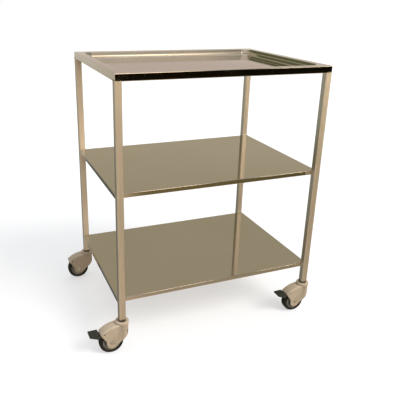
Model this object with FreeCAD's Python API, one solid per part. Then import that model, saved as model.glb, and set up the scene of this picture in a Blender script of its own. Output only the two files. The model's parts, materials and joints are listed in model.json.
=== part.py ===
# Instrument cart for a veterinary clinic: a recessed stainless tray on four square tube posts, two
# flat folded shelves between them and four swivel castors, the front two with a brake pedal.
# Millimetres. X runs along the long side, Y front to back, Z up, the floor is Z = 0, and the origin
# is under the middle of everything the cart covers on the floor.
import FreeCAD, Part
import math
import os

V = FreeCAD.Vector
os.makedirs("parts", exist_ok=True)

# ---- driving dimensions -----------------------------------------------------------------------

# frame
cart_width = 670.0
cart_depth = 500.0
cart_height = 840.0
tube = 20.0
tube_wall = 1.2
tube_corner = 2.0
post_foot = 107.0

# sheet metal
sheet = 1.2
tray_flange = 17.0
tray_return = 18.0
tray_corner = 1.8
shelf_flange = 14.0
shelf_return = 10.0
shelf_corner = 1.2
middle_shelf_top = 506.0
lower_shelf_top = 171.0
# tray recess from the ledge inwards: inset from the outer edge, depth below the ledge
recess_steps = [(24.0, 0.0), (26.0, 2.0), (26.6, 9.0), (30.5, 10.6), (31.6, 17.2), (34.5, 20.0)]
recess_corner = 30.0
stiffener_crown = 34.0
stiffener_brim = 14.0
stiffener_height = 11.0

# castors, measured from the swivel axis (the wheel trails towards -X) and from the floor
wheel_radius = 37.5
wheel_half = 12.0
rim_radius = 27.0
trail = 36.0
swivel_gap = 0.05
hood_half = 18.0
hood_inner = 14.5
hood_boss_radius = 19.0
hood_top = 94.0
hood_reach = 70.6
collar_radius = 21.0
collar_top = 100.5
collar_base = 92.0
pocket_radius = 12.0
pocket_floor = 78.0
boss_floor = 74.0
axle_radius = 4.0
axle_head_radius = 6.0
axle_head = 1.5
bush_radius = 6.5
rim_half = 13.0
stem_radius = 5.5
thread_radius = 5.0
stem_head_radius = 9.0
hex_across = 16.0
insert_length = 30.0
insert_flange = 2.5

# swivel bearing
ball_radius = 1.5
ball_count = 14
race_pitch = 9.0
race_mid = 82.5
groove_radius = 1.7
race_gap = 1.8

# brake pedal, about its pin
pin_x = -59.0
pin_z = 72.2
pin_radius = 2.0
pedal_hub_radius = 3.3
pedal_arm_half = 13.5
pedal_half = 15.0
shoe_half = 9.0
shoe_gap = 3.7

# places
pedal_tip_reach = 104.0
cart_x = (pedal_tip_reach - collar_radius) / 2
post_x = (cart_width - tube) / 2
post_y = (cart_depth - tube) / 2
corners = {
    "front_left": (cart_x - post_x, -post_y),
    "front_right": (cart_x + post_x, -post_y),
    "rear_left": (cart_x - post_x, post_y),
    "rear_right": (cart_x + post_x, post_y),
}
braked = ("front_left", "front_right")
post_top = cart_height - tray_flange


# ---- helpers ----------------------------------------------------------------------------------

def block(x0, x1, y0, y1, z0, z1):
    return Part.makeBox(x1 - x0, y1 - y0, z1 - z0, V(x0, y0, z0))


def upright(radius, z0, z1, x=0.0, y=0.0):
    return Part.makeCylinder(radius, z1 - z0, V(x, y, z0), V(0, 0, 1))


def crosswise(radius, y0, y1, x, z):
    return Part.makeCylinder(radius, y1 - y0, V(x, y0, z), V(0, 1, 0))


def rounded_wire(width, depth, corner, z):
    """A rectangle with quarter-circle corners, centred on the cart's middle."""
    hw, hd = width / 2, depth / 2
    edges = []
    for sx, sy, start in ((1, 1, 0), (-1, 1, 90), (-1, -1, 180), (1, -1, 270)):
        centre = V(sx * (hw - corner), sy * (hd - corner), z)
        circle = Part.Circle(centre, V(0, 0, 1), corner)
        edges.append(Part.Arc(circle, math.radians(start), math.radians(start + 90)).toShape())
    sides = []
    for i, edge in enumerate(edges):
        following = edges[(i + 1) % 4]
        sides.append(Part.LineSegment(edge.lastVertex().Point, following.firstVertex().Point).toShape())
    loop = [piece for pair in zip(edges, sides) for piece in pair]
    return Part.Wire(loop)


def rounded_slab(width, depth, corner, z0, z1):
    return Part.Face(rounded_wire(width, depth, corner, z0)).extrude(V(0, 0, z1 - z0))


def side_prism(outline, half):
    """An outline of (x, z) points, spread evenly to both sides of Y = 0."""
    points = [V(x, -half, z) for x, z in outline]
    wire = Part.makePolygon(points + points[:1])
    return Part.Face(wire).extrude(V(0, 2 * half, 0))


def spun(outline, x, z):
    """A closed outline of (radius, y) points turned about the cross axis through (x, z)."""
    points = [V(x + r, y, z) for r, y in outline]
    wire = Part.makePolygon(points + points[:1])
    return Part.Face(wire).revolve(V(x, 0, z), V(0, 1, 0), 360)


def arc_points(x, z, radius, start, end, count):
    """Points (x, z) along an arc, with angles in degrees from +X towards +Z."""
    turns = [math.radians(start + (end - start) * i / count) for i in range(count + 1)]
    return [(x + radius * math.cos(a), z + radius * math.sin(a)) for a in turns]


def save(name, shape, place=(0.0, 0.0)):
    """Write one sub-part, moved to its place on the floor plan."""
    placed = shape.copy()
    placed.translate(V(place[0], place[1], 0))
    placed.exportStep(f"parts/{name}.step")
    print(f"{name}: {len(placed.Solids)} solid(s), {placed.Volume / 1000:.2f} cm3, valid {placed.isValid()}")


# ---- frame ------------------------------------------------------------------------------------

def make_post():
    outer = rounded_slab(tube, tube, tube_corner, post_foot, post_top)
    bore = tube - 2 * tube_wall
    inner = rounded_slab(bore, bore, tube_corner - tube_wall, post_foot, post_top)
    return outer.cut(inner)


def folded_sheet(width, depth, top, flange, lip, corner):
    """A flat sheet with its edges folded down and then back in underneath."""
    low = top - flange
    outer = rounded_slab(width, depth, corner, low, top)
    upper_edges = [e for e in outer.Edges if e.BoundBox.ZMin > top - 0.01]
    outer = outer.makeFillet(corner, upper_edges)
    hollow = rounded_slab(
        width - 2 * sheet, depth - 2 * sheet, max(corner - sheet, 0.3), low + sheet, top - sheet
    )
    opening = rounded_slab(width - 2 * lip, depth - 2 * lip, corner, low, low + sheet)
    return outer.cut(hollow.fuse(opening))


def recess_body(shift, drop, top_extra):
    """The recess's stack of sloped bands, grown by `shift` sideways and `drop` downwards."""
    bands = []
    for (inset_a, depth_a), (inset_b, depth_b) in zip(recess_steps, recess_steps[1:]):
        wires = []
        for inset, depth in ((inset_a, depth_a), (inset_b, depth_b)):
            wires.append(
                rounded_wire(
                    cart_width - 2 * (inset - shift),
                    cart_depth - 2 * (inset - shift),
                    recess_corner - (inset - recess_steps[0][0]) + shift,
                    cart_height - depth - drop,
                )
            )
        bands.append(Part.makeLoft(wires, True, True))
    body = bands[0].fuse(bands[1:])
    if top_extra > 0:
        inset = recess_steps[0][0] - shift
        lid = rounded_slab(
            cart_width - 2 * inset,
            cart_depth - 2 * inset,
            recess_corner + shift,
            cart_height - drop,
            cart_height - drop + top_extra,
        )
        body = body.fuse(lid)
    return body


def make_tray():
    rim = folded_sheet(cart_width, cart_depth, cart_height, tray_flange, tray_return, tray_corner)
    well = recess_body(sheet, sheet, 0)
    return rim.fuse(well).cut(recess_body(0, 0, 5.0)).removeSplitter()


def make_shelf(top):
    return folded_sheet(
        cart_width, cart_depth - 2 * tube, top, shelf_flange, shelf_return, shelf_corner
    ).removeSplitter()


def make_stiffener(length, under):
    """A folded hat channel, brims up against the underside of the sheet above it."""
    crown, low = stiffener_crown / 2, under - stiffener_height
    reach = crown + stiffener_brim
    outline = [
        (-reach, under), (-reach, under - sheet), (-crown, under - sheet), (-crown, low),
        (crown, low), (crown, under - sheet), (reach, under - sheet), (reach, under),
        (crown - sheet, under), (crown - sheet, low + sheet),
        (-crown + sheet, low + sheet), (-crown + sheet, under),
    ]
    points = [V(-length / 2, y, z) for y, z in outline]
    return Part.Face(Part.makePolygon(points + points[:1])).extrude(V(length, 0, 0))


# ---- castor -----------------------------------------------------------------------------------

def make_insert():
    bore = tube - 2 * tube_wall
    plug = rounded_slab(bore, bore, tube_corner - tube_wall, post_foot, post_foot + insert_length)
    flange = rounded_slab(tube - 1, tube - 1, tube_corner, post_foot - insert_flange, post_foot)
    hole = upright(thread_radius, post_foot - insert_flange, post_foot + insert_length)
    return plug.fuse(flange).cut(hole).removeSplitter()


def make_stem():
    """Threaded top in the insert, hexagon above the bearing, turned shank and riveted end."""
    hex_top = post_foot - insert_flange
    hex_low = race_mid + race_gap / 2 + 4.0
    corner = hex_across / 2 / math.cos(math.radians(30))
    ring = [V(corner * math.cos(math.radians(a)), corner * math.sin(math.radians(a)), hex_low)
            for a in range(0, 360, 60)]
    hexagon = Part.Face(Part.makePolygon(ring + ring[:1])).extrude(V(0, 0, hex_top - hex_low))
    thread = upright(thread_radius, hex_top, post_foot + insert_length - 3)
    shank = upright(stem_radius, boss_floor - 0.3, hex_low)
    head = upright(stem_head_radius, boss_floor - 3.3, boss_floor - 0.3)
    return hexagon.fuse([thread, shank, head]).removeSplitter()


def race_groove():
    return Part.makeTorus(race_pitch, groove_radius, V(0, 0, race_mid), V(0, 0, 1))


def make_lower_race():
    top = race_mid - race_gap / 2
    ring = upright(pocket_radius, pocket_floor, top)
    return ring.cut(upright(stem_radius + 0.7, pocket_floor, top)).cut(race_groove())


def make_upper_race():
    low = race_mid + race_gap / 2
    ring = upright(pocket_radius - 0.5, low, low + 4.0)
    return ring.cut(upright(stem_radius, low, low + 4.0)).cut(race_groove())


def make_balls():
    balls = []
    for i in range(ball_count):
        angle = 2 * math.pi * i / ball_count
        centre = V(race_pitch * math.cos(angle), race_pitch * math.sin(angle), race_mid)
        balls.append(Part.makeSphere(ball_radius, centre))
    return Part.makeCompound(balls)


def hood_outline():
    """Side view: round tongue over the axle, sloping front edge, domed top, upright back."""
    tongue = arc_points(-trail, 36.0, 17.0, -52.0, -180.0, 12)
    front = [(-53.0, 44.0), (-60.0, 57.0)]
    nose = arc_points(-66.5, 71.0, 4.0, 205.0, 125.0, 4)
    top = [(-62.0, 79.2), (-52.0, 85.0), (-42.0, 89.2), (-32.0, 92.2), (-20.0, hood_top)]
    back = [(20.0, hood_top), (20.0, 66.0), (12.0, 54.0)]
    return tongue + front + nose + top + back


def make_hood():
    """One moulding: two side plates, a roof, a boss for the swivel bearing and its collar."""
    outline = hood_outline()
    shell = side_prism(outline, hood_half)
    roof_edges = [
        e for e in shell.Edges
        if e.BoundBox.ZMin > 74.0 and e.BoundBox.YLength < 0.01 and e.BoundBox.XMax < 0
    ]
    shell = shell.makeFillet(4.0, roof_edges)
    plan = block(-hood_reach, 0, -hood_half, hood_half, 0, 120)
    nose_corners = [e for e in plan.Edges if e.BoundBox.XMax < -60 and e.BoundBox.ZLength > 100]
    plan = plan.makeFillet(6.0, nose_corners).fuse(upright(hood_half, 0, 120))
    boss = upright(hood_boss_radius, 40, hood_top).common(side_prism(outline, hood_boss_radius))
    collar = upright(collar_radius, collar_base, collar_top)
    outer = shell.common(plan).fuse([boss, collar])
    cavity = side_prism(
        [
            (-110.0, 17.5), (-74.0, 62.0), (-66.8, 70.9), (-61.0, 75.8), (-52.0, 81.6),
            (-43.0, 85.8), (-33.0, 88.7), (-17.0, 90.5), (-17.0, boss_floor), (13.5, boss_floor),
            (15.5, 66.0), (8.0, 52.0), (30.0, 52.0), (30.0, 0.0), (-110.0, 0.0),
        ],
        hood_inner,
    )
    bearing_pocket = upright(pocket_radius, pocket_floor, collar_top)
    stem_bore = upright(stem_radius + swivel_gap, 40, pocket_floor)
    axle_bore = crosswise(axle_radius, -30, 30, -trail, wheel_radius)
    near_seat = crosswise(axle_head_radius, -30, -hood_half + axle_head, -trail, wheel_radius)
    far_seat = crosswise(axle_head_radius, hood_half - axle_head, 30, -trail, wheel_radius)
    pin_bore = crosswise(pin_radius, -30, 30, pin_x, pin_z)
    return outer.cut([cavity, bearing_pocket, stem_bore, axle_bore, near_seat, far_seat, pin_bore])


def make_axle():
    shank = crosswise(axle_radius, -hood_half, hood_half, -trail, wheel_radius)
    near_head = crosswise(axle_head_radius, -hood_half, -hood_half + axle_head, -trail, wheel_radius)
    far_head = crosswise(axle_head_radius, hood_half - axle_head, hood_half, -trail, wheel_radius)
    return shank.fuse([near_head, far_head]).removeSplitter()


def make_bush():
    half = rim_half + 0.2
    sleeve = crosswise(bush_radius, -half, half, -trail, wheel_radius)
    return sleeve.cut(crosswise(axle_radius + swivel_gap, -half, half, -trail, wheel_radius))


def make_rim():
    half_outline = [
        (bush_radius, rim_half), (10.0, rim_half), (11.0, 9.0), (20.5, 8.0), (23.5, 10.2),
        (rim_radius, 10.5),
    ]
    mirrored = [(r, -y) for r, y in reversed(half_outline)]
    return spun(half_outline + mirrored, -trail, wheel_radius)


def make_tyre():
    shoulder = 5.0
    upper = []
    for r, y in arc_points(wheel_radius - shoulder, wheel_half - shoulder, shoulder, 90.0, 0.0, 6):
        upper.append((r, y))
    upper = [(rim_radius, wheel_half - 1.5), (rim_radius + 2, wheel_half)] + upper
    lower = [(r, -y) for r, y in reversed(upper)]
    return spun(upper + lower, -trail, wheel_radius)


def shoe_face():
    """The brake shoe's lower face, on an arc round the axle just outside the tyre."""
    return arc_points(-trail, wheel_radius, wheel_radius + shoe_gap, 141.0, 154.0, 6)


def make_pedal():
    """A paddle outside the hood, an arm under its nose and a hub on the pin."""
    arm = side_prism(
        [
            (pin_x, pin_z + pedal_hub_radius), (-63.5, 72.0), (-67.0, 67.5), (-73.5, 65.8),
            (-75.0, 65.8), (-75.0, 60.5), (-71.0, 60.5), (-66.0, 64.0),
            (pin_x, pin_z - pedal_hub_radius),
        ],
        pedal_arm_half,
    )
    hub = crosswise(pedal_hub_radius, -pedal_arm_half, pedal_arm_half, pin_x, pin_z)
    paddle = side_prism(
        [
            (-74.0, 74.2), (-76.5, 75.4), (-pedal_tip_reach, 75.0), (1.0 - pedal_tip_reach, 70.0),
            (-80.0, 60.0), (-73.5, 60.0),
        ],
        pedal_half,
    )
    bore = crosswise(pin_radius + swivel_gap, -30, 30, pin_x, pin_z)
    return arm.fuse([hub, paddle]).cut(bore).removeSplitter()


def make_shoe():
    outline = shoe_face() + [(-76.0, 60.5), (-76.0, 63.0), (-67.0, 65.5)]
    blank = side_prism(outline, shoe_half)
    return blank.cut(make_pedal())


def make_pin():
    return crosswise(pin_radius, -hood_half + 0.3, hood_half - 0.3, pin_x, pin_z)


# ---- write every sub-part ---------------------------------------------------------------------

middle = (cart_x, 0.0)
recess_depth = recess_steps[-1][1]
save("top_tray", make_tray(), middle)
save("middle_shelf", make_shelf(middle_shelf_top), middle)
save("lower_shelf", make_shelf(lower_shelf_top), middle)
save("tray_stiffener", make_stiffener(560.0, cart_height - recess_depth - sheet), middle)
save("middle_stiffener", make_stiffener(620.0, middle_shelf_top - sheet), middle)
save("lower_stiffener", make_stiffener(620.0, lower_shelf_top - sheet), middle)

for corner_name, place in corners.items():
    save(f"post_{corner_name}", make_post(), place)
    save(f"tube_insert_{corner_name}", make_insert(), place)
    save(f"castor_stem_{corner_name}", make_stem(), place)
    save(f"upper_race_{corner_name}", make_upper_race(), place)
    save(f"lower_race_{corner_name}", make_lower_race(), place)
    save(f"bearing_balls_{corner_name}", make_balls(), place)
    save(f"castor_hood_{corner_name}", make_hood(), place)
    save(f"wheel_axle_{corner_name}", make_axle(), place)
    save(f"wheel_bush_{corner_name}", make_bush(), place)
    save(f"wheel_rim_{corner_name}", make_rim(), place)
    save(f"tyre_{corner_name}", make_tyre(), place)

for corner_name in braked:
    save(f"brake_pedal_{corner_name}", make_pedal(), corners[corner_name])
    save(f"brake_shoe_{corner_name}", make_shoe(), corners[corner_name])
    save(f"pedal_pin_{corner_name}", make_pin(), corners[corner_name])
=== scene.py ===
# %% [markdown]
# # An instrument cart in stainless steel
# This lesson builds the visible surfaces of a clinic cart: a pressed tray, two folded shelves,
# four square posts and four castors. The engineering model gives every size and every joint, so
# each piece here reads its place from that frame and nothing is fitted by eye.

# %% Load the frame
import json
import math

import bmesh
import bpy
from mathutils import Matrix, Vector


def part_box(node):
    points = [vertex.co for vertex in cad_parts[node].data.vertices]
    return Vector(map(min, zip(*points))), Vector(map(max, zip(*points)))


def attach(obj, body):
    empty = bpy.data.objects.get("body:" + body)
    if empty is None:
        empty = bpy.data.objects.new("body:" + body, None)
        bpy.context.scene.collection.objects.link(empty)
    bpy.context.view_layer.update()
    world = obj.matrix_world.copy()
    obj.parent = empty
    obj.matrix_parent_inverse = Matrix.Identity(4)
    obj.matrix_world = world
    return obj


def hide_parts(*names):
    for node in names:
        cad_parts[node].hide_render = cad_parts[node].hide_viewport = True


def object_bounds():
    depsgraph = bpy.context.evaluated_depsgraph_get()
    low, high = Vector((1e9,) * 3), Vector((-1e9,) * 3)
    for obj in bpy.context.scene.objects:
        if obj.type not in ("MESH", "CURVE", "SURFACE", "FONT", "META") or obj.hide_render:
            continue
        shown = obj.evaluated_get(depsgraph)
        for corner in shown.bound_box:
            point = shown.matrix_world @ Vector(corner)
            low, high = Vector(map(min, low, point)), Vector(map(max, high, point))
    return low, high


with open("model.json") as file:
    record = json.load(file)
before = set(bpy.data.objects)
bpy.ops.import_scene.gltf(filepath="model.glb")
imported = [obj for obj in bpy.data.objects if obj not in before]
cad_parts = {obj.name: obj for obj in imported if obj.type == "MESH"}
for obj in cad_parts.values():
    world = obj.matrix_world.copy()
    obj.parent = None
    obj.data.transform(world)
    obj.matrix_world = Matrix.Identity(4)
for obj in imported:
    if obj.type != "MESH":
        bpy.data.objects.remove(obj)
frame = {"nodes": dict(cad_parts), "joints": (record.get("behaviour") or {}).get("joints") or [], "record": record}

mm = 0.001
cad_low, cad_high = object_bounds()
corners = ("front_left", "front_right", "rear_left", "rear_right")
braked = ("front_left", "front_right")
joints = {joint["name"]: joint for joint in frame["joints"]}
print("whole cart, metres:", [round(v, 3) for v in cad_high - cad_low])

# %% [markdown]
# ## Shader maths as sums
# A procedural finish is mostly arithmetic on noise. Wrapping a socket in a small class lets the
# arithmetic be written as ordinary sums, and each sum adds its own Math node. Any other node
# comes from one method that takes the node's type, its settings and what goes into its sockets.
# The surroundings are made of the same kind of nodes, so they use the same helpers.

# %% A value that makes its own nodes
class Value:
    """One output socket, usable in sums with numbers and with other values."""

    def __init__(self, graph, socket):
        self.graph = graph
        self.socket = socket

    def join(self, operation, left, right):
        return self.graph.node("ShaderNodeMath", {"operation": operation}, {0: left, 1: right})

    def __add__(self, other):
        return self.join("ADD", self, other)

    __radd__ = __add__

    def __sub__(self, other):
        return self.join("SUBTRACT", self, other)

    def __rsub__(self, other):
        return self.join("SUBTRACT", other, self)

    def __mul__(self, other):
        return self.join("MULTIPLY", self, other)

    __rmul__ = __mul__


class Graph:
    """A node tree with the helpers that finishes and surroundings share."""

    def __init__(self, tree):
        self.tree = tree

    def plug(self, item, value):
        if isinstance(value, Value):
            self.tree.links.new(value.socket, item)
        else:
            item.default_value = value

    def node(self, kind, settings=None, inputs=None, output=0):
        """Any node: its type, its settings, then what goes into its sockets. Gives one output."""
        made = self.tree.nodes.new(kind)
        for key, value in (settings or {}).items():
            if key == "stops":
                self.place_stops(made.color_ramp, value)
            else:
                setattr(made, key, value)
        for key, value in (inputs or {}).items():
            self.plug(made.inputs[key], value)
        return None if output is None else Value(self, made.outputs[output])

    def place_stops(self, ramp, stops):
        """Put (position, colour) stops on a colour ramp."""
        while len(ramp.elements) < len(stops):
            ramp.elements.new(1.0)
        for element, (position, colour) in zip(ramp.elements, stops):
            element.position = position
            element.color = (*colour, 1)

    def fade(self, value, low, high):
        """0 at low, 1 at high, smooth between; low may be the larger of the two."""
        return self.node(
            "ShaderNodeMapRange",
            {"interpolation_type": "SMOOTHSTEP"},
            {"Value": value, "From Min": low, "From Max": high},
        )

    def blend(self, mask, first, second):
        """A colour that goes from first to second as the mask goes from 0 to 1."""
        sockets = {"Factor": mask, 6: first, 7: second}
        return self.node("ShaderNodeMix", {"data_type": "RGBA"}, sockets, 2)


class Finish(Graph):
    """A material under construction."""

    def __init__(self, name):
        self.material = bpy.data.materials.new(name)
        self.material.use_nodes = True
        super().__init__(self.material.node_tree)
        self.shader = self.tree.nodes["Principled BSDF"]
        self.point = self.node("ShaderNodeTexCoord", output="Object")

    def stretch(self, x, y, z):
        """The surface point with each axis scaled, which draws noise out into streaks."""
        return self.node("ShaderNodeVectorMath", {"operation": "MULTIPLY"}, {0: self.point, 1: (x, y, z)})

    def noise(self, scale, detail=3.0, at=None):
        inputs = {"Vector": at or self.point, "Scale": scale, "Detail": detail}
        return self.node("ShaderNodeTexNoise", None, inputs, "Fac")

    def bump(self, height, strength, distance, under=None):
        inputs = {"Height": height, "Strength": strength, "Distance": distance}
        if under is not None:
            inputs["Normal"] = under
        return self.node("ShaderNodeBump", None, inputs)

    def set(self, **sockets):
        """Fill the main shader's sockets; an underscore in a name stands for a space."""
        for key, value in sockets.items():
            self.plug(self.shader.inputs[key.replace("_", " ")], value)
        return self.material


print("helpers ready")

# %% [markdown]
# ## Bright stainless sheet
# The tray and shelves are bright rolled stainless steel. Rolling leaves hair-fine lines along the
# sheet, cleaning leaves soft wiped patches, and the thin sheet is never quite flat, so it bends
# what it mirrors. The lines are noise stretched along X, and the rest is broad, faint noise.

# %% Finish: stainless sheet
def stainless_sheet():
    f = Finish("stainless_sheet")
    grain = f.noise(90.0, 4.0, f.stretch(0.6, 28.0, 28.0))
    wiped = f.noise(5.0, 4.0)
    print_marks = f.fade(f.noise(16.0, 5.0), 0.56, 0.72)
    swell = f.noise(2.6, 1.0)
    colour = f.blend(wiped, (0.60, 0.565, 0.50, 1), (0.66, 0.63, 0.575, 1))
    fine = f.bump(grain, 0.02, 0.0002)
    wavy = f.bump(swell, 0.05, 0.004, fine)
    return f.set(
        Base_Color=colour,
        Metallic=1.0,
        Roughness=0.03 + wiped * 0.04 + print_marks * 0.04 + grain * 0.02,
        Normal=wavy,
    )


sheet_steel = stainless_sheet()
print("made", sheet_steel.name)

# %% [markdown]
# ## Brushed stainless tube
# The posts are ground tube. The grinding belt runs along the tube, so the lines are upright and
# coarser than the sheet's, and the finish is duller and slightly warmer.

# %% Finish: brushed tube
def brushed_tube():
    f = Finish("brushed_tube")
    lines = f.noise(130.0, 5.0, f.stretch(9.0, 9.0, 0.12))
    patches = f.noise(7.0, 3.0)
    colour = f.blend(lines, (0.60, 0.56, 0.49, 1), (0.74, 0.70, 0.63, 1))
    return f.set(
        Base_Color=colour,
        Metallic=1.0,
        Roughness=0.36 + lines * 0.12 + patches * 0.06,
        Normal=f.bump(lines, 0.12, 0.0003),
    )


tube_steel = brushed_tube()
print("made", tube_steel.name)

# %% [markdown]
# ## Moulded castor plastic
# The hoods are moulded in beige-grey nylon. A spark-eroded mould leaves a fine, even pebble, and
# lower down the colour darkens a little in patches towards the floor and the surface turns rougher.

# %% Finish: hood plastic
def hood_nylon():
    f = Finish("hood_nylon")
    pebble = f.noise(1400.0, 2.0)
    cloud = f.noise(30.0, 4.0)
    height = f.node("ShaderNodeSeparateXYZ", None, {0: f.point}, "Z")
    # the colour darkens and roughens in patches below 75 mm, most near the floor
    lower_darkening = f.fade(height, 0.075, 0.02) * f.fade(cloud, 0.35, 0.7)
    hood_base_tone = f.blend(cloud, (0.50, 0.42, 0.32, 1), (0.58, 0.495, 0.385, 1))
    return f.set(
        Base_Color=f.blend(lower_darkening * 0.6, hood_base_tone, (0.33, 0.29, 0.235, 1)),
        Roughness=0.33 + cloud * 0.12 + lower_darkening * 0.25,
        Normal=f.bump(pebble, 0.12, 0.0003),
    )


nylon = hood_nylon()
print("made", nylon.name)

# %% [markdown]
# ## Tyre rubber
# The tyre is smooth black rubber that picks up pale dust and fine scuffs as it rolls. The scuffs
# are noise drawn out round the tread. Rubber hardly shines, so its specular level is turned down
# on the shader's own socket.

# %% Finish: tyre rubber
def tyre_rubber():
    f = Finish("black_rubber")
    cloud = f.noise(55.0, 5.0)
    scuff = f.fade(f.noise(160.0, 3.0, f.stretch(1.0, 0.25, 1.0)), 0.52, 0.7)
    colour = f.blend(cloud * 0.5, (0.010, 0.010, 0.011, 1), (0.028, 0.027, 0.025, 1))
    return f.set(
        Base_Color=f.blend(scuff * 0.25, colour, (0.045, 0.043, 0.04, 1)),
        Roughness=0.5 + scuff * 0.2,
        Specular_IOR_Level=0.22,
        Normal=f.bump(cloud, 0.08, 0.0006),
    )


rubber = tyre_rubber()
print("made", rubber.name)

# %% [markdown]
# ## Plain mouldings
# The rim is a grey moulding, the pedal a black one, the tube inserts black and the wheel bushes
# natural nylon. They differ only in colour and gloss, so one function makes all four: a faint
# cloud in the colour, and the fine pebble of a spark-eroded mould in the bump.

# %% Finish: plain mouldings
def moulding(name, dark, light, roughness, pebble_height):
    f = Finish(name)
    cloud = f.noise(45.0, 4.0)
    pebble = f.noise(1100.0, 2.0)
    return f.set(
        Base_Color=f.blend(cloud, dark, light),
        Roughness=roughness + cloud * 0.14,
        Normal=f.bump(pebble, pebble_height, 0.0003),
    )


rim_plastic = moulding("grey_moulding", (0.20, 0.195, 0.18, 1), (0.27, 0.265, 0.25, 1), 0.38, 0.08)
pedal_plastic = moulding(
    "black_moulding", (0.012, 0.016, 0.015, 1), (0.03, 0.038, 0.035, 1), 0.3, 0.15
)
insert_plastic = moulding(
    "insert_moulding", (0.012, 0.012, 0.012, 1), (0.025, 0.025, 0.025, 1), 0.5, 0.12
)
bush_nylon = moulding("white_nylon", (0.62, 0.61, 0.56, 1), (0.72, 0.71, 0.67, 1), 0.4, 0.05)
print("made the plain mouldings")

# %% [markdown]
# ## Small steel parts
# Stems and axles are zinc plated, the brake pins are coloured near black as painted shade for their
# holes, and the bearing parts are ground bright. All were turned on a lathe, so they share a bump of
# very fine turning lines.

# %% Finish: plated and ground steel
def small_steel(name, dark, light, roughness):
    f = Finish(name)
    bloom = f.noise(220.0, 4.0)
    turning = f.noise(900.0, 2.0, f.stretch(1.0, 1.0, 4.0))
    return f.set(
        Base_Color=f.blend(bloom, dark, light),
        Metallic=1.0,
        Roughness=roughness + bloom * 0.15,
        Normal=f.bump(turning, 0.08, 0.0002),
    )


plated_steel = small_steel("zinc_plate", (0.42, 0.42, 0.40, 1), (0.6, 0.6, 0.57, 1), 0.28)
# painted shade: the brake pins' near-black colour stands for the shade inside their holes
pin_shade_steel = small_steel("pin_painted_shade", (0.04, 0.04, 0.038, 1), (0.08, 0.08, 0.075, 1), 0.4)
bearing_steel = small_steel("ground_steel", (0.36, 0.35, 0.33, 1), (0.55, 0.55, 0.56, 1), 0.16)
print("made the small steels")

# %% [markdown]
# ## Rounded outlines
# Folded sheet and moulded plastic have no sharp corners. Each section is written as a few corner
# points with the radius of the bend at each, and one function turns every corner into an arc.
# The same function serves the tray's section, the hood's side view and the wheel's profile.

# %% Round the corners of an outline
def rounded(points, steps=5, closed=False):
    """Points (a, b) or (a, b, radius). Each one with a radius becomes an arc of `steps` pieces."""
    result = []
    count = len(points)
    for i, point in enumerate(points):
        here = Vector(point[:2])
        radius = point[2] if len(point) > 2 else 0.0
        at_end = not closed and i in (0, count - 1)
        if radius == 0.0 or at_end:
            result.append((here.x, here.y))
            continue
        back = (Vector(points[i - 1][:2]) - here).normalized()
        ahead = (Vector(points[(i + 1) % count][:2]) - here).normalized()
        half = math.acos(max(-1.0, min(1.0, back.dot(ahead)))) / 2
        centre = here + (back + ahead).normalized() * (radius / math.sin(half))
        first = here + back * (radius / math.tan(half)) - centre
        sweep = first.angle_signed(here + ahead * (radius / math.tan(half)) - centre)
        for k in range(steps + 1):
            turn = -sweep * k / steps
            x = first.x * math.cos(turn) - first.y * math.sin(turn)
            y = first.x * math.sin(turn) + first.y * math.cos(turn)
            result.append((centre.x + x, centre.y + y))
    return result


trial = rounded([(0, 0, 1), (9, 0, 1), (9, 9, 1), (0, 9, 1)], closed=True)
print("a rounded square has", len(trial), "points, from", trial[0])

# %% [markdown]
# ## From a mesh to a piece of the cart
# Every piece ends the same way: its mesh becomes an object, modifiers are applied so that the mesh
# can be shared, it gets one finish, it rides on the body it moves with, and it stands in for its
# engineering parts. Doing that in a few small functions keeps the pieces themselves short.

# %% Turn a mesh into a finished piece
def mesh_piece(name, build, smooth_angle=32.0):
    """A new object whose mesh comes from a bmesh that is already in place."""
    bmesh.ops.recalc_face_normals(build, faces=build.faces)
    data = bpy.data.meshes.new(name)
    build.to_mesh(data)
    build.free()
    return object_from(name, data, smooth_angle)


def object_from(name, data, smooth_angle=32.0):
    data.polygons.foreach_set("use_smooth", [True] * len(data.polygons))
    data.set_sharp_from_angle(angle=math.radians(smooth_angle))
    piece = bpy.data.objects.new(name, data)
    bpy.context.scene.collection.objects.link(piece)
    return piece


def baked(piece):
    """The piece's mesh with every modifier applied, as a fresh mesh; the piece is removed."""
    graph = bpy.context.evaluated_depsgraph_get()
    data = bpy.data.meshes.new_from_object(piece.evaluated_get(graph))
    bpy.data.objects.remove(piece)
    return data


def fit(piece, body, nodes, finish):
    """Give a piece its finish, let it ride on its body and let it stand for its nodes."""
    piece.data.materials.clear()
    piece.data.materials.append(finish)
    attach(piece, body)
    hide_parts(*nodes)
    return piece


print("piece helpers ready")

# %% [markdown]
# ## Sheet metal from rings
# A pressed tray is the same section carried round a rectangle. So the mesh is a stack of rings:
# every point of the section becomes one rounded rectangle, and neighbouring rings are joined by
# faces. The section runs over the top face, round the hem and back underneath, so the sheet has a
# real thickness everywhere. One more ring sits just past each bend: without it the smooth shading
# of the bend would run on across the flat face and make the polished sheet look bowed.

# %% Rings and the faces between them
def ring(build, low, high, inset, z, corner, steps):
    """One rounded rectangle of vertices, inset from the plan box low..high."""
    corner = max(corner, 0.2 * mm)
    left, right = low.x + inset + corner, high.x - inset - corner
    front, back = low.y + inset + corner, high.y - inset - corner
    made = []
    for x, y, start in ((right, back, 0), (left, back, 90), (left, front, 180), (right, front, 270)):
        for k in range(steps + 1):
            angle = math.radians(start + 90 * k / steps)
            made.append(build.verts.new((x + corner * math.cos(angle), y + corner * math.sin(angle), z)))
    return made


def bridge(build, first, second):
    count = len(first)
    for i in range(count):
        j = (i + 1) % count
        build.faces.new((first[i], first[j], second[j], second[i]))


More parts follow.
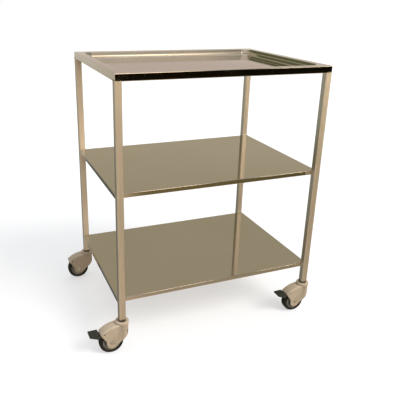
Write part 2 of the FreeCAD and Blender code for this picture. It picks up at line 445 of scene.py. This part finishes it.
def pressed_sheet(name, low, high, section, corner_at, steps=10):
    """Carry a section of (inset, z) points round the plan box and close both ends."""
    build = bmesh.new()
    rings = [ring(build, low, high, inset, z, corner_at(inset), steps) for inset, z in section]
    for first, second in zip(rings, rings[1:]):
        bridge(build, first, second)
    build.faces.new(rings[0])
    build.faces.new(rings[-1])
    return mesh_piece(name, build, 40.0)


print("sheet helper ready")

# %% [markdown]
# ## The top tray
# The tray has a 24 mm flat ledge all round and a recess 20 mm deep. The press forms the wall in
# two steps: a nearly upright band, a small step, and a second band that meets the floor in a
# cove. The outer edge folds down and then in under itself, so no raw edge can be touched.

# %% Build the top tray
sheet = 1.2 * mm
fold_inside = 0.6 * mm
past_bend = 0.3 * mm
tray_low, tray_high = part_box("top_tray")
tray_top = tray_high.z
flange_low = tray_low.z
rim_bend, hem_bend = 1.8 * mm, 1.6 * mm
hem_reach = 18.0 * mm
ledge = 24.0 * mm
recess_corner = 30.0 * mm
recess_floor = tray_top - 20.0 * mm
floor_inset = 60.0 * mm


def wall_section(shift, drop):
    """The recess wall from the ledge to the floor, moved out and down for the underside."""
    points = [(24.8, 0.0, 2.4), (26.6, 9.4, 1.4), (30.6, 10.6, 1.6), (32.2, 20.0, 3.4)]
    return [(a * mm - shift, tray_top - b * mm - drop, r * mm) for a, b, r in points]


def tray_corner(inset):
    """The plan corner's radius: tight on the rim, wide in the recess."""
    return rim_bend - inset if inset < 20.0 * mm else recess_corner + ledge - inset


tray_section = rounded(
    [(floor_inset, recess_floor), (38 * mm, recess_floor)]
    + wall_section(0, 0)[::-1]
    + [
        (22 * mm, tray_top),
        (rim_bend + past_bend, tray_top),
        (0, tray_top, rim_bend),
        (0, tray_top - rim_bend - past_bend),
        (0, flange_low + hem_bend + past_bend),
        (0, flange_low, hem_bend),
        (hem_reach, flange_low, 0.5 * mm),
        (hem_reach, flange_low + sheet, 0.5 * mm),
        (sheet, flange_low + sheet, fold_inside),
        (sheet, tray_top - sheet, fold_inside),
    ]
    + wall_section(sheet, sheet)
    + [(floor_inset, recess_floor - sheet)]
)
tray = pressed_sheet("tray_pressing", tray_low, tray_high, tray_section, tray_corner, 12)
fit(tray, "cart_frame", ["top_tray"], sheet_steel)
print("tray vertices:", len(tray.data.vertices))

# %% [markdown]
# ## The two shelves
# Each shelf is a flat sheet whose edges fold down and then in. It fits between the front and rear
# posts and runs the full width of the cart, so its ends lie flush with the posts' outer faces.

# %% Build the shelves
shelf_bend, shelf_hem_bend = 1.6 * mm, 1.4 * mm
shelf_hem_reach = 10.0 * mm
shelf_inset = 40.0 * mm


def shelf(name, node):
    low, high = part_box(node)
    top, base = high.z, low.z
    section = rounded(
        [
            (shelf_inset, top),
            (shelf_bend + past_bend, top),
            (0, top, shelf_bend),
            (0, top - shelf_bend - past_bend),
            (0, base + shelf_hem_bend + past_bend),
            (0, base, shelf_hem_bend),
            (shelf_hem_reach, base, 0.5 * mm),
            (shelf_hem_reach, base + sheet, 0.5 * mm),
            (sheet, base + sheet, fold_inside),
            (sheet, top - sheet, fold_inside),
            (shelf_inset, top - sheet),
        ]
    )
    piece = pressed_sheet(name, low, high, section, lambda inset: shelf_hem_bend - inset, 4)
    return fit(piece, "cart_frame", [node], sheet_steel)


for name, node in (("middle_shelf_sheet", "middle_shelf"), ("lower_shelf_sheet", "lower_shelf")):
    print(name, len(shelf(name, node).data.vertices))

# %% [markdown]
# ## The posts
# Square tube is rolled, not cut, so its corners are small arcs that catch a line of light. A post
# is a rounded square carried up its height, with a real bore that shows at the foot. The sawn
# foot has its edges broken inside and out; the top is welded to the tray and stays square.

# %% Build the posts
tube_wall = 1.2 * mm
tube_corner = 2.0 * mm
broken_edge = 0.3 * mm


def post(corner):
    low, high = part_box("post_" + corner)
    build = bmesh.new()
    stack = [
        (broken_edge, low.z),
        (0, low.z + broken_edge),
        (0, high.z),
        (tube_wall, high.z),
        (tube_wall, low.z + broken_edge),
        (tube_wall - 0.2 * mm, low.z),
    ]
    rings = [ring(build, low, high, inset, z, tube_corner - inset, 6) for inset, z in stack]
    for first, second in zip(rings, rings[1:] + rings[:1]):
        bridge(build, first, second)
    piece = mesh_piece("post_tube_" + corner, build, 40.0)
    return fit(piece, "cart_frame", ["post_" + corner], tube_steel)


for corner in corners:
    post(corner)
print("four posts")

# %% [markdown]
# ## One castor, four times
# All four castors are the same, so each piece is modelled once about the swivel axis and its mesh
# is shared. The axle and the brake pin are joints of the engineering model, so their places come
# from there, measured from the swivel axis.

# %% Places of a castor's parts
swivel = {c: Vector(joints["swivel_" + c]["pos_m"]) for c in corners}
axle_at = Vector(joints["wheel_spin_front_left"]["pos_m"]) - swivel["front_left"]
axle_x, axle_z = axle_at.x, joints["wheel_spin_front_left"]["pos_m"][2]
pin_at = Vector(joints["brake_front_left"]["pos_m"]) - swivel["front_left"]
pin_x, pin_z = pin_at.x, joints["brake_front_left"]["pos_m"][2]
print("axle and pin, mm:", [round(v / mm, 1) for v in (axle_x, axle_z, pin_x, pin_z)])

# %% [markdown]
# ## Solids to join and cut with
# A moulding is easiest to build the way its mould is cut: from a few plain solids that are joined
# and subtracted. These helpers make the solids, apply Boolean modifiers with them and then bevel
# the sharp edges, because a moulded edge is never knife sharp.

# %% Solids to cut with
def prism(name, outline, half):
    """A side view of (x, z) points, spread evenly to both sides."""
    build = bmesh.new()
    near = [build.verts.new((x, -half, z)) for x, z in outline]
    far = [build.verts.new((x, half, z)) for x, z in outline]
    bridge(build, near, far)
    build.faces.new(near)
    build.faces.new(far)
    return mesh_piece(name, build)


def turned(name, profile, centre, axis, steps=64, capped=True):
    """A profile of (radius, distance along the axis) points turned round an axis."""
    build = bmesh.new()
    side = Vector((1, 0, 0))
    up = axis.cross(side)
    rings = []
    for radius, along in profile:
        circle = []
        for k in range(steps):
            angle = 2 * math.pi * k / steps
            out = side * (radius * math.cos(angle)) + up * (radius * math.sin(angle))
            circle.append(build.verts.new(centre + axis * along + out))
        rings.append(circle)
    for first, second in zip(rings, rings[1:]):
        bridge(build, first, second)
    if capped:
        build.faces.new(rings[0])
        build.faces.new(rings[-1])
    else:
        bridge(build, rings[-1], rings[0])
    return mesh_piece(name, build)


upward = Vector((0, 0, 1))
sideways = Vector((0, 1, 0))
on_axis = Vector((0, 0, 0))


def upright_rod(radius, low, high):
    return turned("rod", [(radius, low), (radius, high)], on_axis, upward, 72)


def cross_rod(radius, low, high, x, z):
    return turned("rod", [(radius, low), (radius, high)], Vector((x, 0, z)), sideways, 48)


def combine(piece, others, operation):
    """Apply Boolean modifiers one after another and return the resulting piece."""
    for other in others:
        step = piece.modifiers.new("combine", "BOOLEAN")
        step.operation = operation
        step.solver = "EXACT"
        step.object = other
        name = piece.name
        piece = object_from(name, baked(piece))
        bpy.data.objects.remove(other)
    return piece


def eased(piece, width, segments, angle=35.0):
    """Break every edge that turns by more than the angle, then apply."""
    step = piece.modifiers.new("eased", "BEVEL")
    step.width = width
    step.segments = segments
    step.limit_method = "ANGLE"
    step.angle_limit = math.radians(angle)
    step.miter_outer = "MITER_ARC"
    return baked(piece)


print("cutting helpers ready")

# %% [markdown]
# ## The hood's rolled edges
# The roof of the hood runs into its sides in a wide, soft curve, but the side plates' lower edges
# are much tighter. A bevel modifier has one width, so it can't do both. Here the side view is
# spread sideways in rings that shrink inwards near each face, by an amount that may differ at
# every point of the outline.

# %% Roll the edges of a side view
def inward(outline):
    """The direction into the shape at every point of a closed outline."""
    pairs = zip(outline, outline[1:] + outline[:1])
    turn = 1 if sum(a[0] * b[1] - b[0] * a[1] for a, b in pairs) > 0 else -1
    result = []
    for i in range(len(outline)):
        before, here, after = (Vector(outline[k % len(outline)]) for k in (i - 1, i, i + 1))
        along = ((here - before).normalized() + (after - here).normalized()).normalized()
        result.append(Vector((-along.y, along.x)) * turn)
    return result


def rolled(name, outline, half, roll_at, steps=6):
    """A side view spread to both sides, whose edge at each point rolls over by roll_at(x, z)."""
    rolls = [roll_at(x, z) for x, z in outline]
    directions = inward(outline)
    turns = [i / steps for i in range(steps + 1)]
    build = bmesh.new()
    rings = []
    for side, turn in [(-1, t) for t in reversed(turns)] + [(1, t) for t in turns]:
        made = []
        for (x, z), roll, to in zip(outline, rolls, directions):
            angle = turn * math.pi / 2
            sunk = roll * (1 - math.cos(angle))
            y = side * (half - roll * (1 - math.sin(angle)))
            made.append(build.verts.new((x + to.x * sunk, y, z + to.y * sunk)))
        rings.append(made)
    for first, second in zip(rings, rings[1:]):
        bridge(build, first, second)
    build.faces.new(rings[0])
    build.faces.new(rings[-1])
    return mesh_piece(name, build)


print("rolled edge helper ready")

# %% [markdown]
# ## The castor hood
# The hood is one moulding: two side plates that narrow to a tongue over the axle, a sloping roof,
# a round boss for the swivel bearing and a raised collar round the post's foot. The side view with
# rolled edges comes first, then the boss and collar are joined to it, then the wheel well, the
# bearing pocket, the stem's bore, the rivets' seats and the small bores are cut out.

# %% Build the hood
hood_half = 18.0 * mm
hood_inner = 14.5 * mm


def arc(x, z, radius, start, end, count):
    angles = [math.radians(start + (end - start) * i / count) for i in range(count + 1)]
    return [(x + radius * math.cos(a), z + radius * math.sin(a)) for a in angles]


def scaled(points):
    return [(p[0] * mm, p[1] * mm) for p in points]


tongue_and_roof = (
    arc(-36.0, 36.0, 17.0, -52.0, -180.0, 16)
    + rounded([(-53.0, 38.0), (-53.0, 45.0, 12.0), (-60.0, 57.0, 30.0), (-70.0, 69.0)], 6)[1:]
    + arc(-66.5, 71.0, 4.0, 200.0, 125.0, 6)
    + rounded([(-68, 75), (-53, 85, 60), (-36, 91.7, 60), (-20, 94, 20), (0, 94)], 8)[1:]
)
hood_side = scaled(
    tongue_and_roof + rounded([(0, 94), (20, 94), (20, 66, 14), (12, 54, 6), (2, 45.6)], 6)[1:]
)
hood_plates = scaled(tongue_and_roof + [(0.0, 44.0)])


def hood_roll(x, z):
    """The roof rolls over by 3.8 mm and the side plates' edges by 1 mm."""
    share = max(0.0, min(1.0, (z / mm - 64.0) / 9.0))
    return (1.0 + 2.8 * share) * mm


def plan_prism(name, outline, low, high):
    """A view from above of (x, y) points, made solid from low to high."""
    build = bmesh.new()
    base = [build.verts.new((x, y, low)) for x, y in outline]
    top = [build.verts.new((x, y, high)) for x, y in outline]
    bridge(build, base, top)
    build.faces.new(base)
    build.faces.new(top)
    return mesh_piece(name, build)


def hood_mesh():
    boss = combine(
        upright_rod(19.0 * mm, 40 * mm, 94 * mm), [prism("side", hood_side, 20.5 * mm)], "INTERSECT"
    )
    collar = turned(
        "collar",
        scaled(rounded([(20.2, 91.0), (21.0, 92.6, 0.5), (21.0, 100.5, 1.6), (16.0, 100.5)], 5)),
        on_axis, upward, 72,
    )
    plan_corners = [(-70.6, -18.2, 7.0), (5.0, -18.2), (5.0, 18.2), (-70.6, 18.2, 7.0)]
    plan = plan_prism("plan", scaled(rounded(plan_corners, 8, True)), 0, 120 * mm)
    plates = combine(rolled("hood", hood_plates, hood_half, hood_roll), [plan], "INTERSECT")
    shell = combine(plates, [boss, collar], "UNION")
    well = scaled(
        [
            (-110.0, 17.5), (-74.0, 62.0), (-66.8, 70.9), (-61.0, 75.8), (-52.0, 81.6),
            (-43.0, 85.8), (-33.0, 88.7), (-17.0, 90.5), (-17.0, 74.0), (13.5, 74.0),
            (15.5, 66.0), (8.0, 52.0), (30.0, 52.0), (30.0, 0.0), (-110.0, 0.0),
        ]
    )
    cuts = [
        prism("well", well, hood_inner),
        upright_rod(12.0 * mm, 78 * mm, 120 * mm),
        upright_rod(5.55 * mm, 60 * mm, 80 * mm),
        cross_rod(6.2 * mm, -30 * mm, -16.5 * mm, axle_x, axle_z),
        cross_rod(6.2 * mm, 16.5 * mm, 30 * mm, axle_x, axle_z),
        cross_rod(4.0 * mm, -30 * mm, 30 * mm, axle_x, axle_z),
        cross_rod(2.1 * mm, -30 * mm, 30 * mm, pin_x, pin_z),
        cross_rod(3.0 * mm, -30 * mm, -16.2 * mm, pin_x, pin_z),
        cross_rod(3.0 * mm, 16.2 * mm, 30 * mm, pin_x, pin_z),
    ]
    return eased(combine(shell, cuts, "DIFFERENCE"), 0.5 * mm, 2)


hood_data = hood_mesh()
print("hood vertices:", len(hood_data.vertices))

# %% [markdown]
# ## Four hoods from one mesh
# A castor piece is set down at a corner by moving its object to that corner's swivel axis. The
# mesh itself is shared, so the four hoods cost no more than one.

# %% Place the four hoods
def at_corner(name, data, corner, body, nodes, finish):
    """A castor piece, modelled about its swivel axis, set down at one corner."""
    piece = object_from(name + "_" + corner, data)
    piece.location = (swivel[corner].x, swivel[corner].y, 0)
    return fit(piece, body + "_" + corner, [n + "_" + corner for n in nodes], finish)


for corner in corners:
    at_corner("hood", hood_data, corner, "castor", ["castor_hood"], nylon)
print("four hoods")

# %% [markdown]
# ## Wheels
# A wheel is two mouldings: a grey rim and a black tyre. Both are turned profiles. The tyre has a
# slightly crowned tread, round shoulders and a fine groove where it meets the rim. The rim has a
# raised lip, a dished web and a hub that carries the nylon bush.

# %% Build the wheels
wheel_centre = Vector((axle_x, 0, axle_z))


def mirrored(half_profile):
    return half_profile + [(r, -y) for r, y in reversed(half_profile)]


tyre_half = scaled(
    rounded([(27.0, 10.4), (28.4, 11.2, 0.5), (29.2, 10.9, 0.4), (30.8, 12.0, 1.0),
             (36.8, 11.6, 4.2), (37.5, 0.4)], 6)
)
rim_half = scaled(
    rounded([(6.5, 12.8), (9.6, 12.8, 0.5), (10.8, 8.2, 1.2), (15.0, 7.4, 4.0), (22.5, 8.6, 1.5),
             (24.0, 10.6, 0.8), (27.0, 10.4)], 5)
)
tyre_data = baked(turned("tyre", mirrored(tyre_half), wheel_centre, sideways, 96, capped=False))
rim_data = baked(turned("rim", mirrored(rim_half), wheel_centre, sideways, 96, capped=False))
for corner in corners:
    at_corner("tyre_tread", tyre_data, corner, "wheel", ["tyre"], rubber)
    at_corner("rim", rim_data, corner, "wheel", ["wheel_rim"], rim_plastic)
print("four wheels")

# %% [markdown]
# ## Axle rivets and brake pins
# The axle is a rivet whose low heads sit in round seats in the side plates. The brake pin ends just
# inside its hole, and its near-black colour is painted shade, so the hole looks dark from outside.

# %% Build axles and pins
axle_half = scaled(
    rounded([(0.01, 18.4), (1.6, 18.35, 0.5), (2.2, 17.9, 0.4), (5.4, 18.0, 0.7), (5.9, 16.5),
             (4.0, 16.5), (4.0, 0.1)], 4)
)
axle_data = baked(turned("axle", mirrored(axle_half), wheel_centre, sideways, 48))
pin_half = scaled(rounded([(0.01, 15.9), (1.98, 15.9, 0.5), (1.98, 0.1)], 3))
pin_centre = Vector((pin_x, 0, pin_z))
pin_data = baked(turned("pin", mirrored(pin_half), pin_centre, sideways, 32))
for corner in corners:
    at_corner("axle_rivet", axle_data, corner, "castor", ["wheel_axle"], plated_steel)
# the pins take the near-black finish that paints the shade of their holes
for corner in braked:
    at_corner("brake_pin", pin_data, corner, "castor", ["pedal_pin"], pin_shade_steel)
print("axles and pins")

# %% [markdown]
# ## Brake pedals
# The pedal is one black moulding: a hub on the pin, an arm under the hood's roof and a wide
# paddle outside it with a raised rim and three grip ribs, so a shoe doesn't slip.

# %% Build the pedals
def pedal_mesh():
    arm = prism(
        "pedal",
        scaled([(-59.0, 75.5), (-63.5, 72.0), (-67.0, 67.5), (-73.5, 65.8), (-75.0, 65.8),
                (-75.0, 60.5), (-71.0, 60.5), (-66.0, 64.0), (-59.0, 68.9)]),
        13.5 * mm,
    )
    hub = cross_rod(3.3 * mm, -13.5 * mm, 13.5 * mm, pin_x, pin_z)
    side = [(-74.0, 74.2), (-76.5, 75.4), (-104.0, 75.0), (-103.0, 70.0), (-80.0, 60.0), (-73.5, 60.0)]
    pedal = combine(arm, [hub, prism("paddle", scaled(side), 15 * mm)], "UNION")
    tread = prism("tread", scaled([(-79, 80), (-102, 80), (-102, 74.4), (-79, 74.7)]), 12.8 * mm)
    under = prism("under", scaled([(-78, 50), (-78, 72.6), (-101, 72.2), (-101, 50)]), 12.8 * mm)
    bore = cross_rod(2.05 * mm, -30 * mm, 30 * mm, pin_x, pin_z)
    pedal = combine(pedal, [tread, under, bore], "DIFFERENCE")
    ribs = []
    for x in (-84.5, -90.5, -96.5):
        side = [(x + 1.1, 74.0), (x + 0.7, 75.15), (x - 0.7, 75.15), (x - 1.1, 74.0)]
        ribs.append(prism("rib", scaled(side), 12.9 * mm))
    return eased(combine(pedal, ribs, "UNION"), 0.5 * mm, 2)


pedal_data = pedal_mesh()
for corner in braked:
    at_corner("pedal", pedal_data, corner, "pedal", ["brake_pedal"], pedal_plastic)
print("pedal vertices:", len(pedal_data.vertices))

# %% [markdown]
# ## Pieces kept from the engineering model
# Stems, races, balls, bushes, inserts, brake shoes and stiffeners already have the right shape.
# They keep their meshes and only get a finish, chosen by the material slot the record gives them.

# %% Finish the kept pieces
finish_for_slot = {
    "stainless": sheet_steel,
    "plated_steel": plated_steel,
    "bearing_steel": bearing_steel,
    "insert_plastic": insert_plastic,
    "bush_plastic": bush_nylon,
}
kept = ("tray_stiffener", "middle_stiffener", "lower_stiffener", "castor_stem", "upper_race",
        "lower_race", "bearing_balls", "tube_insert", "wheel_bush", "brake_shoe")
slots = {entry["node"]: entry["material_slot"] for entry in frame["record"]["subparts"]}
for node, shape in frame["nodes"].items():
    if node.startswith(kept):
        shape.data.materials.clear()
        shape.data.materials.append(finish_for_slot[slots[node]])
print("kept pieces:", sum(node.startswith(kept) for node in frame["nodes"]))

# %% [markdown]
# ## The floor
# The cart stands on a plain pale floor. It glows a little as well as taking the lamp's light, so
# it stays nearly white and keeps only a faint shadow under each shelf and wheel. Steel and
# plastic don't see it, because what they mirror is set by the surroundings further down.

# %% Floor
def make_floor():
    build = bmesh.new()
    bmesh.ops.create_grid(build, x_segments=1, y_segments=1, size=12.0)
    floor = mesh_piece("floor", build)
    f = Finish("floor_paint")
    cloud = f.noise(1.5, 3.0)
    paint = f.set(
        Base_Color=f.blend(cloud, (0.50, 0.525, 0.56, 1), (0.52, 0.545, 0.58, 1)),
        Roughness=0.8,
        Emission_Color=(1.0, 1.0, 1.0, 1),
        Emission_Strength=0.5,
    )
    floor.data.materials.append(paint)
    floor.visible_glossy = False
    floor.visible_diffuse = False
    return floor


floor = make_floor()
print("floor at z =", floor.location.z)

# %% [markdown]
# ## What the steel mirrors
# Polished steel has almost no colour of its own: it shows the room. So the room is painted on the
# sky. Two sets of level bands, one in front of the cart and one behind it, give the floor, walls
# and ceiling. Soft-edged patches on top of them are a window, a bright doorway, a warm wall, a pale
# wall and three dull places. Only shiny surfaces see this room. Matt surfaces get a plain soft
# light from above, and the camera sees white, so each can be set without upsetting the others.

# %% Surroundings
def bands(graph, height, levels):
    """Level bands of colour, given as (degrees above the horizon, colour)."""
    stops = [((math.sin(math.radians(degrees)) + 1) / 2, colour) for degrees, colour in levels]
    return graph.node("ShaderNodeValToRGB", {"stops": stops}, {0: height * 0.5 + 0.5})


def make_surroundings():
    world = bpy.data.worlds.new("studio")
    world.use_nodes = True
    bpy.context.scene.world = world
    world.node_tree.nodes.clear()
    g = Graph(world.node_tree)
    point = g.node("ShaderNodeTexCoord", output="Generated")
    x = g.node("ShaderNodeSeparateXYZ", None, {0: point}, "X")
    y = g.node("ShaderNodeSeparateXYZ", None, {0: point}, "Y")
    z = g.node("ShaderNodeSeparateXYZ", None, {0: point}, "Z")
    front = bands(g, z, [
        (-90, (1.0, 0.80, 0.60)), (-45, (0.80, 0.62, 0.46)), (-32, (0.46, 0.37, 0.27)),
        (-21, (0.20, 0.16, 0.07)), (-13, (0.012, 0.009, 0.003)), (-4, (0.0, 0.0, 0.0)),
        (3, (0.24, 0.24, 0.18)), (19, (0.38, 0.36, 0.29)), (25, (0.85, 0.72, 0.60)),
        (50, (0.7, 0.62, 0.54)), (90, (1.0, 0.97, 0.93)),
    ])
    back = bands(g, z, [
        (-90, (1.0, 0.80, 0.60)), (-45, (0.46, 0.40, 0.29)), (-12, (0.46, 0.40, 0.29)),
        (-8, (0.60, 0.55, 0.46)), (0, (0.8, 0.76, 0.66)), (5.5, (0.9, 0.86, 0.76)),
        (6.8, (0.58, 0.48, 0.42)), (11, (0.56, 0.47, 0.40)), (15, (0.50, 0.44, 0.32)),
        (24, (0.43, 0.38, 0.27)), (36, (0.44, 0.38, 0.28)), (90, (1.0, 0.97, 0.93)),
    ])
    room = g.blend(g.fade(y, -0.15, 0.15), front, back)
    patches = [
        ("warm wall", (0.85, 0.64, 0.46),
         [(x, 0.18, 0.02), (y, -0.1, -0.3), (z, -0.7, -0.4), (z, 0.12, 0.0)]),
        ("pale wall", (0.60, 0.65, 0.58),
         [(x, -0.36, -0.6), (z, -0.7, -0.5), (z, 0.2, 0.0), (y, -0.5, -0.2)]),
        ("dim corner", (0.20, 0.20, 0.16),
         [(x, 0.38, 0.46), (x, 0.75, 0.55), (z, 0.12, 0.2), (z, 0.75, 0.5), (y, -0.1, -0.3)]),
        ("window", (4.8, 3.75, 2.85),
         [(x, 0.44, 0.31), (x, 0.1, 0.18), (z, -0.05, 0.0), (z, 0.33, 0.3), (y, -0.3, -0.5)]),
        ("doorway", (9.5, 7.8, 5.4),
         [(x, 0.52, 0.58), (y, -0.2, -0.4), (z, -0.02, 0.02), (z, 0.16, 0.1)]),
        ("shaded wall", (0.13, 0.14, 0.07),
         [(x, -0.3, -0.42), (y, 0.3, 0.5), (z, -0.05, 0.0), (z, 0.5, 0.4)]),
        ("dull floor", (0.13, 0.13, 0.12),
         [(x, 0.0, -0.15), (y, 0.3, 0.5), (z, -0.75, -0.6), (z, -0.2, -0.28)]),
    ]
    for name, colour, limits in patches:
        mask = 1.0
        for axis, outside, inside in limits:
            mask = mask * g.fade(axis, outside, inside)
        room = g.blend(mask, room, (*colour, 1))
        print("painted the", name)
    shine = g.node("ShaderNodeBackground", None, {"Color": room})
    soft = bands(g, z, [
        (-90, (0.13, 0.115, 0.10)), (-5, (0.17, 0.15, 0.13)), (5, (0.32, 0.31, 0.30)),
        (40, (0.7, 0.69, 0.68)), (90, (0.95, 0.95, 0.95)),
    ])
    glow = g.node("ShaderNodeBackground", None, {"Color": soft})
    white = g.node("ShaderNodeBackground", None, {"Color": (1, 1, 1, 1)})
    matte = g.node("ShaderNodeLightPath", output="Is Diffuse Ray")
    seen = g.node("ShaderNodeLightPath", output="Is Camera Ray")
    lit = g.node("ShaderNodeMixShader", None, {0: matte, 1: shine, 2: glow})
    shown = g.node("ShaderNodeMixShader", None, {0: seen, 1: lit, 2: white})
    g.node("ShaderNodeOutputWorld", None, {"Surface": shown}, None)


make_surroundings()
print("surroundings set")

# %% [markdown]
# ## One soft lamp
# A very large, far lamp stands for the studio light, high up in front and to the right. Its wide
# angle makes the shadows soft. Shiny surfaces don't see it: the painted room gives their lights.

# %% Key light
def make_key_light(towards, angle, power, colour):
    data = bpy.data.lights.new("key_light", "SUN")
    data.angle = math.radians(angle)
    data.energy = power
    data.color = colour
    lamp = bpy.data.objects.new("key_light", data)
    bpy.context.scene.collection.objects.link(lamp)
    lamp.location = (cad_low + cad_high) / 2 + towards * 3
    lamp.rotation_euler = towards.to_track_quat("Z", "Y").to_euler()
    lamp.visible_glossy = False
    return lamp


key_light = make_key_light(Vector((0.5, -0.6, 0.75)), 30, 2.2, (1, 0.93, 0.84))
print("key light at", [round(v, 2) for v in key_light.location])

# %% [markdown]
# ## The camera
# The camera stands in front of the cart, a little to its left and a little above the tray, and
# looks down at it. Its place is measured from the middle of the tray. A small roll and a small
# lens shift set the framing.

# %% Camera
def make_camera():
    data = bpy.data.cameras.new("camera")
    data.sensor_width = 36.0
    data.lens = 46.97
    data.shift_x = 0.0424
    data.shift_y = -0.0331
    camera = bpy.data.objects.new("camera", data)
    bpy.context.scene.collection.objects.link(camera)
    heading, dip, roll = 0.40062, 0.35889, 0.02545
    ahead = Vector(
        (math.sin(heading) * math.cos(dip), math.cos(heading) * math.cos(dip), -math.sin(dip))
    )
    level = Vector((math.cos(heading), -math.sin(heading), 0))
    over = level.cross(ahead)
    right = level * math.cos(roll) + over * math.sin(roll)
    above = over * math.cos(roll) - level * math.sin(roll)
    turn = Matrix((right, above, -ahead)).transposed().to_4x4()
    middle = (tray_low + tray_high) / 2
    place = Vector((middle.x - 0.68534, middle.y - 1.53902, 1.03785))
    camera.matrix_world = Matrix.Translation(place) @ turn
    bpy.context.scene.camera = camera
    return camera


camera = make_camera()
bpy.context.scene.view_settings.view_transform = "Standard"
print("camera at", [round(v, 2) for v in camera.matrix_world.translation])
